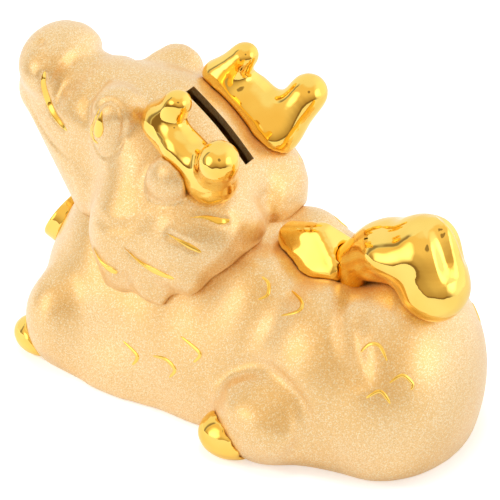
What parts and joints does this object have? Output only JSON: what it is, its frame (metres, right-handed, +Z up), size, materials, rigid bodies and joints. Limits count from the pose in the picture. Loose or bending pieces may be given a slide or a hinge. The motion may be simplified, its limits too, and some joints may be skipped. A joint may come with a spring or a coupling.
{
  "type": "piggy bank",
  "caption": "Ceramic coin bank shaped as a young dragon lying on its belly, with a slot between the horns, a hollow head and body, and a rubber stopper in the base.",
  "frame": {"origin": "on the table, below the middle of the bank's outer box", "axes": "+Z up, -Y the way the dragon faces, +X its left side"},
  "size_m": [0.1282, 0.2308, 0.1497],
  "materials": {
    "frosted_gold": "sand-frosted pale gold plating over glazed ceramic",
    "polished_gold": "mirror-bright gold plating over glazed ceramic",
    "rubber": "plain matt rubber"
  },
  "bodies": {
    "bank": {"body_shell": "frosted_gold", "head_shell": "frosted_gold", "horn_left": "polished_gold", "horn_right": "polished_gold", "ear_left": "frosted_gold", "ear_right": "frosted_gold", "back_fin": "polished_gold", "tail": "polished_gold", "paw_front_left": "polished_gold", "paw_front_right": "polished_gold", "paw_rear_left": "polished_gold", "paw_rear_right": "polished_gold", "chest_medallion": "polished_gold"},
    "stopper": {"stopper": "rubber"}
  },
  "joints": [
    {"name": "stopper_pull", "type": "slide", "parent": "bank", "child": "stopper", "axis": [0, 0, -1], "range_m": [0, 0.025]}
  ]
}
